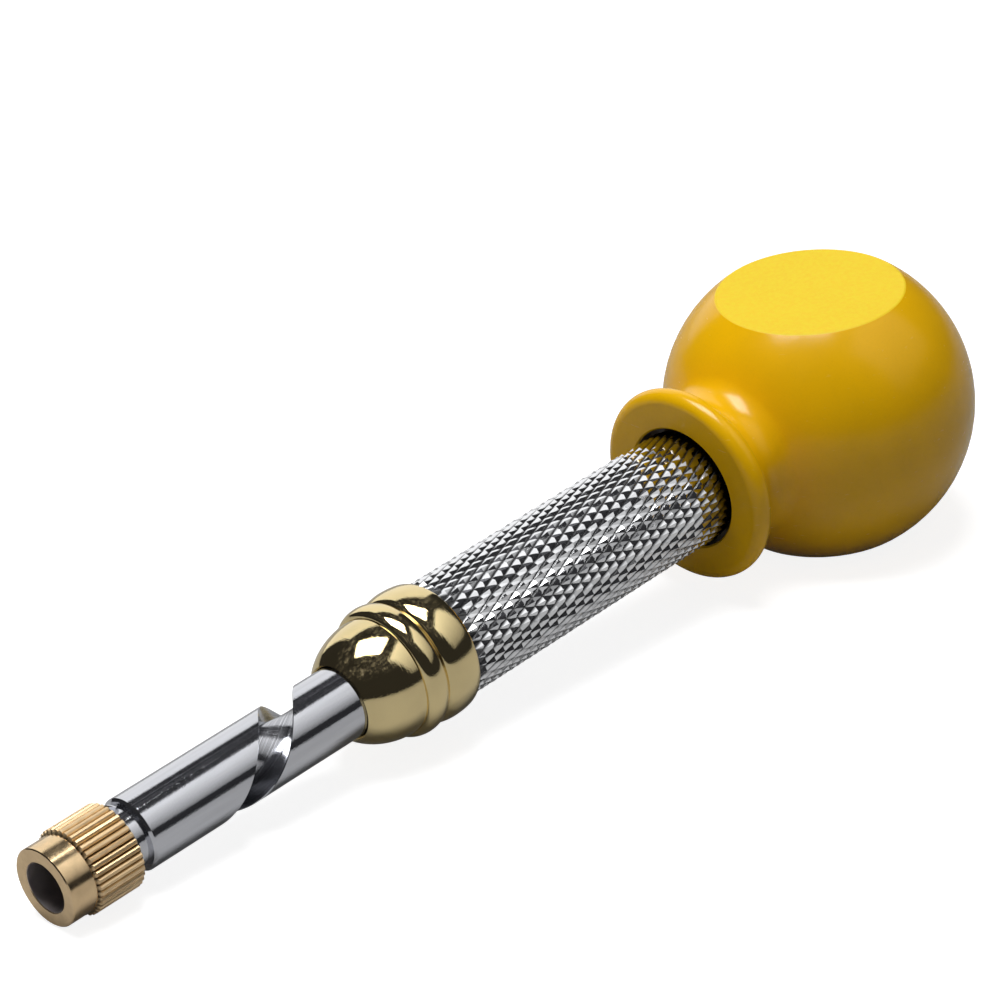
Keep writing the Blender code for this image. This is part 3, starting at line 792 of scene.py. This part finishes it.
def groove_section(sizes, x, turn):
    """The groove's section at one place, square to its run, with its edges flared."""
    rise = sizes.groove_lead / (2 * math.pi)
    run = math.hypot(SHAFT_RADIUS, rise)
    round_dir = Vector((0.0, math.cos(turn), -math.sin(turn)))
    across = (SHAFT_RADIUS * Vector((1.0, 0.0, 0.0)) - rise * round_dir) / run
    half = sizes.groove_width / 2
    floor = SHAFT_RADIUS - sizes.groove_depth
    lip = math.sqrt(SHAFT_RADIUS ** 2 - (half * rise / run) ** 2)
    reach = 6 * sizes.groove_edge
    edge = lip - sizes.groove_edge
    side = [(half, floor), (half, edge), (half + reach, edge + reach)]
    profile = side + [(-wide, high) for wide, high in reversed(side)]
    centre = Vector((x, 0.0, AXIS_Z))
    return [centre + wide * across + high * outward(turn) for wide, high in profile]


def make_shaft(sizes):
    """The shaft turned with its tail's seat, its spigot and its socket."""
    tail = SHAFT_LOW.x
    end = SHAFT_HIGH.x
    shoulder = FERRULE_HIGH.x + sizes.showing
    socket = end - sizes.socket_depth
    edge = sizes.edge
    outline = [
        (tail + sizes.seat_mouth, 0.0), (tail, sizes.seat_mouth),
        (tail, SHAFT_RADIUS - edge), (tail + edge, SHAFT_RADIUS),
        (shoulder - edge, SHAFT_RADIUS), (shoulder, SHAFT_RADIUS - edge),
        (shoulder, sizes.thread_root), (end - edge, sizes.thread_root),
        (end, sizes.thread_root - edge), (end, sizes.socket_radius), (socket, sizes.socket_radius),
        (socket - sizes.socket_radius / math.tan(HALF_DRILL_POINT), 0.0),
    ]
    return turned("grooved_shaft", outline, FINE_STEPS)


def mill_groove(shaft, sizes):
    """Cut the spiral groove with a square section carried along it, and round off its two ends."""
    start = SHAFT_LOW.x + sizes.groove_start
    per_length = 2 * math.pi / sizes.groove_lead
    first = (start - FERRULE_HIGH.x - sizes.groove_top) * per_length
    turn = sizes.groove_run * per_length
    steps = math.ceil(turn / SCREW_STEP)
    section = groove_section(sizes, start, first)
    cutter = swept("groove_cutter", section, [sizes.groove_run / steps] * steps, turn / steps)
    floor = SHAFT_RADIUS - sizes.groove_depth
    half = sizes.groove_width / 2
    ends = [
        peg("groove_rear_end", start, first, half, floor, 2 * SHAFT_RADIUS),
        peg("groove_front_end", start + sizes.groove_run, first + turn, half, floor, 2 * SHAFT_RADIUS),
    ]
    carve(shaft, cutter, *ends)
    smooth(shaft)


def dress_groove(shaft, sizes):
    """Give the milled faces of the groove a finish of their own."""
    shaft.data.materials.append(milled_groove(sizes.colour, sizes.groove_lead))
    start = SHAFT_LOW.x + sizes.groove_start - sizes.groove_width
    end = start + sizes.groove_run + 2 * sizes.groove_width

    def is_milled(face):
        middle = face.calc_center_median()
        return start < middle.x < end and radius_of(middle) < MILLED_SHARE * SHAFT_RADIUS

    hold(shaft)
    bpy.ops.object.mode_set(mode="EDIT")
    pick("FACE", is_milled)
    shaft.active_material_index = 1
    bpy.ops.object.material_slot_assign()
    bpy.ops.object.mode_set(mode="OBJECT")


def make_thread(sizes):
    """The spigot's thread: a flat-crested ridge carried along the spigot."""
    start = FERRULE_HIGH.x + sizes.showing + sizes.relief_width
    root = AXIS_Z + sizes.thread_root - THREAD_SINK
    crest = AXIS_Z + sizes.thread_crest
    rise, fall, foot = (share * sizes.thread_pitch for share in THREAD_SHARES)
    section = [
        (start, 0.0, root), (start + rise, 0.0, crest),
        (start + fall, 0.0, crest), (start + foot, 0.0, root),
    ]
    turns = (SHAFT_HIGH.x - start - foot) / sizes.thread_pitch
    steps = math.ceil(math.pi * turns / SCREW_STEP)
    advance = turns * sizes.thread_pitch / steps
    thread = swept("spigot_thread", section, [advance] * steps, -2 * math.pi * turns / steps)
    smooth(thread)
    return thread


def make_nut(sizes):
    """A cap nut turned with a few columns to each ridge, with the grooves' columns pressed in."""
    rear = NUT_LOW.x
    front = NUT_HIGH.x
    step = rear + sizes.knurl_length
    wall = front - sizes.nose_wall
    root = sizes.knurl_radius - sizes.knurl_depth
    outline = [
        (rear, sizes.bore_radius), (rear, root - sizes.nose_edge), (rear + sizes.edge, sizes.knurl_radius),
        (step - sizes.edge, sizes.knurl_radius), (step, root - sizes.nose_edge), (step, sizes.nose_radius),
        (front - sizes.nose_edge, sizes.nose_radius), (front, sizes.nose_radius - sizes.nose_edge),
        (front, sizes.hole_radius + sizes.nose_edge), (front - sizes.nose_edge, sizes.hole_radius),
        (wall, sizes.hole_radius), (wall, sizes.bore_radius), (rear, sizes.bore_radius),
    ]
    nut = turned("ridged_nut", outline, RIDGE_COLUMNS * sizes.ridges)

    def column_of(point):
        return round(turn_of(point.co) / (2 * math.pi) * RIDGE_COLUMNS * sizes.ridges) % RIDGE_COLUMNS

    def on_crest(point):
        return radius_of(point.co) > sizes.knurl_radius - sizes.knurl_depth / 10

    bpy.ops.object.mode_set(mode="EDIT")
    for columns, share in (((0,), 1.0), ((1, RIDGE_COLUMNS - 1), sizes.shoulder)):
        pick("VERT", lambda point: column_of(point) in columns and on_crest(point))
        widen(1.0 - share * sizes.knurl_depth / sizes.knurl_radius)
    bpy.ops.object.mode_set(mode="OBJECT")
    smooth(nut, NUT_ANGLE)
    return nut


def make_spring(sizes):
    """The return spring: a round wire carried along a coil, its first and last turns closed up."""
    wire = sizes.wire_radius
    coil = SPRING_HIGH.z - AXIS_Z - wire
    start = SPRING_LOW.x + wire
    section = []
    for i in range(WIRE_SIDES):
        turn = 2 * math.pi * i / WIRE_SIDES
        section.append((start + wire * math.cos(turn), 0.0, AXIS_Z + coil + wire * math.sin(turn)))
    closed = 2 * wire + sizes.seat_gap
    pitch = (SPRING_HIGH.x - SPRING_LOW.x - 2 * wire - 2 * closed) / (sizes.turns - 2)
    advances = []
    for turn in range(sizes.turns):
        rise = closed if turn in (0, sizes.turns - 1) else pitch
        advances += [rise / COIL_STEPS] * COIL_STEPS
    spring = swept("return_coil", section, advances, 2 * math.pi / COIL_STEPS)
    smooth(spring, WIRE_ANGLE)
    return spring


class MakeBallHandle(bpy.types.Operator):
    """Model the yellow ball handle."""

    bl_idname = "punch.ball_handle"
    bl_label = "Ball handle"

    def execute(self, context):
        sizes = context.scene.punch.handle
        piece = make_ball_handle(sizes)
        dress(piece, yellow_plastic(sizes))
        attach(piece, "handle")
        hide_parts("ball_handle")
        return {"FINISHED"}


class MakeBarrel(bpy.types.Operator):
    """Model the knurled barrel."""

    bl_idname = "punch.barrel"
    bl_label = "Knurled barrel"

    def execute(self, context):
        sizes = context.scene.punch.barrel
        piece = make_barrel(sizes)
        dress(piece, knurled_chrome(sizes))
        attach(piece, "handle")
        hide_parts("knurled_barrel")
        return {"FINISHED"}


class MakeFerrule(bpy.types.Operator):
    """Model the domed brass ferrule."""

    bl_idname = "punch.ferrule"
    bl_label = "Brass ferrule"

    def execute(self, context):
        sizes = context.scene.punch.ferrule
        piece = make_ferrule(sizes)
        dress(piece, polished_brass(sizes.colour))
        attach(piece, "handle")
        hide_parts("front_ferrule")
        return {"FINISHED"}


class MakeShaft(bpy.types.Operator):
    """Model the grooved shaft and its thread."""

    bl_idname = "punch.shaft"
    bl_label = "Grooved shaft"

    def execute(self, context):
        sizes = context.scene.punch.shaft
        shaft = make_shaft(sizes)
        mill_groove(shaft, sizes)
        thread = make_thread(sizes)
        chrome = polished_chrome(sizes.colour)
        for piece in (shaft, thread):
            dress(piece, chrome)
            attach(piece, "shaft")
        dress_groove(shaft, sizes)
        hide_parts("spiral_shaft")
        return {"FINISHED"}


class MakeNut(bpy.types.Operator):
    """Model the ridged cap nut."""

    bl_idname = "punch.nut"
    bl_label = "Cap nut"

    def execute(self, context):
        sizes = context.scene.punch.nut
        piece = make_nut(sizes)
        dress(piece, satin_brass(sizes))
        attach(piece, "nut")
        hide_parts("chuck_nut")
        return {"FINISHED"}


class MakeSpring(bpy.types.Operator):
    """Model the return spring, which shortens as the tool is pressed."""

    bl_idname = "punch.spring"
    bl_label = "Return spring"

    def execute(self, context):
        sizes = context.scene.punch.inside
        piece = make_spring(sizes)
        dress(piece, plain_steel("spring_steel", sizes.steel, 0.28, 3000.0))
        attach(piece, "handle")
        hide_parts("return_spring")
        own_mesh(piece)
        return {"FINISHED"}


class DressInside(bpy.types.Operator):
    """Give the hidden steel pieces their finishes."""

    bl_idname = "punch.inside"
    bl_label = "Pieces inside"

    def execute(self, context):
        sizes = context.scene.punch.inside
        steel = sizes.steel
        finishes = {
            "drive_pin": plain_steel("hardened_steel", steel, 0.22, 9000.0),
            "spring_cup": plain_steel("turned_steel", steel, 0.30, 5000.0),
            "thrust_ball": plain_steel("bearing_steel", scaled(steel, 1.3), 0.08, 9000.0),
            "barrel_plug": plain_steel("plug_steel", scaled(steel, 0.9), 0.34, 4000.0),
            "handle_screw": plain_steel("zinc_plate", sizes.zinc, 0.34, 6000.0),
        }
        for node, finish in finishes.items():
            dress(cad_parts[node], finish)
        return {"FINISHED"}


# Stage

CAMERA_PLACE = Vector((0.3152, 0.2811, 0.2424))
CAMERA_LOOK = Vector((-0.5904, -0.6429, -0.4879))
CAMERA_UP = Vector((-0.4177, -0.2739, 0.8664))
SENSOR_WIDTH = 36.0
TOOL_MIDDLE = Vector(((HANDLE_LOW.x + NUT_HIGH.x) / 2, 0.0, AXIS_Z))
BLACK = (0.0, 0.0, 0.0)
WHITE = (1.0, 1.0, 1.0)

# The floor: its width, where its glow grows, that glow, and what mirrors show of it
FLOOR_WIDTH = 6.0
FLOOR_REACH = (0.20, 0.45)
FLOOR_GLOW = (0.87, 1.0)
DARK_GLOW = 0.03

# The dark room: its radius, rings and tint, and the angles in degrees where it opens
ROOM_RADIUS = 1.6
ROOM_RINGS = 36
ROOM_TINT = (0.94, 0.94, 1.0)
ROOM_BOTTOM = -10
BACKDROP_SPAN = (-150, -93)
BACKDROP_TOP = 43

# The softbox and the side panel: azimuth and elevation in degrees, distance and size
SOFTBOX_FROM = (-101, 84.2)
SOFTBOX_DISTANCE = 0.8
SOFTBOX_SIZE = (0.50, 0.38)
SOFTBOX_TOP = Vector((-0.79, -0.605, 0.0))
PANEL_FROM = (131.5, 40)
PANEL_DISTANCE = 0.7
PANEL_WIDTH = 0.62
PANEL_GLOW = (0.26, 1.15)


def aim(direction, up):
    """The turn that points an object's -Z along a direction with its Y near up."""
    back = -direction.normalized()
    right = up.cross(back).normalized()
    return Matrix((right, back.cross(right), back)).transposed().to_euler()


def direction_of(azimuth, elevation):
    """The direction at an azimuth from +X towards +Y and an elevation, both in degrees."""
    a = math.radians(azimuth)
    e = math.radians(elevation)
    return Vector((math.cos(a) * math.cos(e), math.sin(a) * math.cos(e), math.sin(e)))


def seen_rays(tree, straight, mirrored):
    """One value for what is seen straight or through glass, one for what mirrors show, and else 0."""
    paths = add(tree, "ShaderNodeLightPath").outputs
    clear = sums(tree, "MAXIMUM", paths["Is Camera Ray"], paths["Is Transmission Ray"])
    direct = sums(tree, "MULTIPLY", clear, straight)
    return sums(tree, "MAXIMUM", direct, sums(tree, "MULTIPLY", paths["Is Glossy Ray"], mirrored))


def glowing(name, colour, glow):
    """A matt finish that gives off light. Returns it, its tree and the input for its strength."""
    finish, tree, shader = new_finish(name, colour, 0.0, 1.0)
    shader.inputs["Specular IOR Level"].default_value = 0.0
    shader.inputs["Emission Color"].default_value = (*glow, 1.0)
    return finish, tree, shader.inputs["Emission Strength"]


def mirrors_only(thing):
    """Let only mirrors show a thing."""
    thing.visible_camera = False
    thing.visible_diffuse = False
    thing.visible_transmission = False
    thing.visible_shadow = False


def make_floor(sizes, nut):
    """A floor that touches the ball's flat and the nut, white where it is seen and still shaded."""
    rest_x = math.sqrt(HANDLE_LOW.x ** 2 - (AXIS_Z - HANDLE_LOW.z) ** 2)
    nut_x = NUT_LOW.x + nut.knurl_length - nut.edge
    tilt = math.atan2(NUT_LOW.z - HANDLE_LOW.z, nut_x - rest_x)
    bpy.ops.mesh.primitive_plane_add(
        size=FLOOR_WIDTH, location=(rest_x, 0.0, HANDLE_LOW.z), rotation=(0.0, -tilt, 0.0))
    floor = name_active("floor")
    finish, tree, strength = glowing("floor", sizes.floor_colour, WHITE)
    away = add(tree, "ShaderNodeVectorMath", {0: place_on(tree)}, operation="LENGTH").outputs["Value"]
    seen = spread(tree, away, *FLOOR_REACH, *FLOOR_GLOW)
    tree.links.new(seen_rays(tree, seen, DARK_GLOW), strength)
    dress(floor, finish)


def make_room():
    """A dark room round the tool that only mirrors show, open towards the white backdrop."""
    bpy.ops.mesh.primitive_uv_sphere_add(
        segments=2 * ROOM_RINGS, ring_count=ROOM_RINGS, radius=ROOM_RADIUS, location=AXIS)
    room = name_active("dark_room")

    def is_open(face):
        middle = face.calc_center_median() - Vector(AXIS)
        azimuth = math.degrees(math.atan2(middle.y, middle.x))
        elevation = math.degrees(math.asin(middle.normalized().z))
        backdrop = BACKDROP_SPAN[0] < azimuth < BACKDROP_SPAN[1] and elevation < BACKDROP_TOP
        return elevation < ROOM_BOTTOM or backdrop

    bpy.ops.object.mode_set(mode="EDIT")
    pick("FACE", is_open)
    bpy.ops.mesh.delete(type="FACE")
    bpy.ops.object.mode_set(mode="OBJECT")
    finish, tree, strength = glowing("dark_room", BLACK, ROOM_TINT)
    place = place_on(tree)
    speckle = spread(tree, noise(tree, place, 9.0, 4.0), 0.54, 0.72, DARK_GLOW, 0.45)
    high = spread(tree, add(tree, "ShaderNodeSeparateXYZ", {0: place}).outputs["Z"], 0.9, 1.2)
    tree.links.new(sums(tree, "MAXIMUM", sums(tree, "MULTIPLY", speckle, high), DARK_GLOW), strength)
    dress(room, finish)
    mirrors_only(room)


def make_side_panel():
    """A soft panel that only mirrors show, brighter towards its top."""
    direction = direction_of(*PANEL_FROM)
    bpy.ops.mesh.primitive_plane_add(
        size=PANEL_WIDTH, location=Vector(AXIS) + direction * PANEL_DISTANCE,
        rotation=aim(-direction, Vector((0.0, 0.0, 1.0))))
    panel = name_active("side_panel")
    finish, tree, strength = glowing("side_panel", BLACK, WHITE)
    place = add(tree, "ShaderNodeTexCoord").outputs["Generated"]
    up = add(tree, "ShaderNodeSeparateXYZ", {0: place}).outputs["Z"]
    tree.links.new(spread(tree, up, 0.0, 1.0, *PANEL_GLOW), strength)
    dress(panel, finish)
    mirrors_only(panel)


def make_softbox(sizes):
    """The softbox overhead."""
    place = TOOL_MIDDLE + SOFTBOX_DISTANCE * direction_of(*SOFTBOX_FROM)
    bpy.ops.object.light_add(
        type="AREA", location=place, rotation=aim(TOOL_MIDDLE - place, SOFTBOX_TOP))
    lamp = bpy.context.object
    lamp.name = "overhead_softbox"
    lamp.data.shape = "RECTANGLE"
    lamp.data.size, lamp.data.size_y = SOFTBOX_SIZE
    lamp.data.energy = sizes.top_power
    lamp.visible_camera = False


def make_world(sizes):
    """White where it is seen, and plain soft light everywhere else."""
    world = bpy.data.worlds.new("studio")
    world.use_nodes = True
    bpy.context.scene.world = world
    tree = world.node_tree
    ground = tree.nodes["Background"]
    ground.inputs["Color"].default_value = (*WHITE, 1.0)
    strength = sums(tree, "MAXIMUM", seen_rays(tree, 1.0, 1.0), sizes.ambient)
    tree.links.new(strength, ground.inputs["Strength"])


class SetStage(bpy.types.Operator):
    """Set the camera, the floor and the lights."""

    bl_idname = "punch.stage"
    bl_label = "Stage"

    def execute(self, context):
        sizes = context.scene.punch.stage
        bpy.ops.object.camera_add(location=CAMERA_PLACE, rotation=aim(CAMERA_LOOK, CAMERA_UP))
        camera = context.object
        camera.data.lens = sizes.lens
        camera.data.sensor_width = SENSOR_WIDTH
        context.scene.camera = camera
        context.scene.view_settings.view_transform = "Standard"
        make_floor(sizes, context.scene.punch.nut)
        make_room()
        make_world(sizes)
        make_softbox(sizes)
        make_side_panel()
        return {"FINISHED"}


class PunchPanel(bpy.types.Panel):
    """Lists the pieces of the punch and their sizes."""

    bl_idname = "VIEW3D_PT_punch"
    bl_label = "Leather punch"
    bl_space_type = "VIEW_3D"
    bl_region_type = "UI"
    bl_category = "Leather punch"

    def draw(self, context):
        for operator, group in STEPS:
            box = self.layout.box()
            box.operator(operator.bl_idname)
            sizes = getattr(context.scene.punch, group)
            for key in sizes.bl_rna.properties.keys():
                if key not in ("rna_type", "name"):
                    box.prop(sizes, key)


STEPS = (
    (MakeBallHandle, "handle"),
    (MakeBarrel, "barrel"),
    (MakeFerrule, "ferrule"),
    (MakeShaft, "shaft"),
    (MakeNut, "nut"),
    (MakeSpring, "inside"),
    (DressInside, "inside"),
    (SetStage, "stage"),
)
GROUPS = (
    HandleSettings, BarrelSettings, FerruleSettings, ShaftSettings, NutSettings, InsideSettings,
    StageSettings, PunchSettings,
)
CLASSES = (*GROUPS, *(operator for operator, _ in STEPS), PunchPanel)


def register():
    for kind in CLASSES:
        bpy.utils.register_class(kind)
    bpy.types.Scene.punch = bpy.props.PointerProperty(type=PunchSettings)


def unregister():
    del bpy.types.Scene.punch
    for kind in reversed(CLASSES):
        bpy.utils.unregister_class(kind)


def main():
    """Register the classes, and make every piece and the stage."""
    register()
    bpy.ops.punch.ball_handle()
    bpy.ops.punch.barrel()
    bpy.ops.punch.ferrule()
    bpy.ops.punch.shaft()
    bpy.ops.punch.nut()
    bpy.ops.punch.spring()
    bpy.ops.punch.inside()
    bpy.ops.punch.stage()


if __name__ == "__main__":
    main()
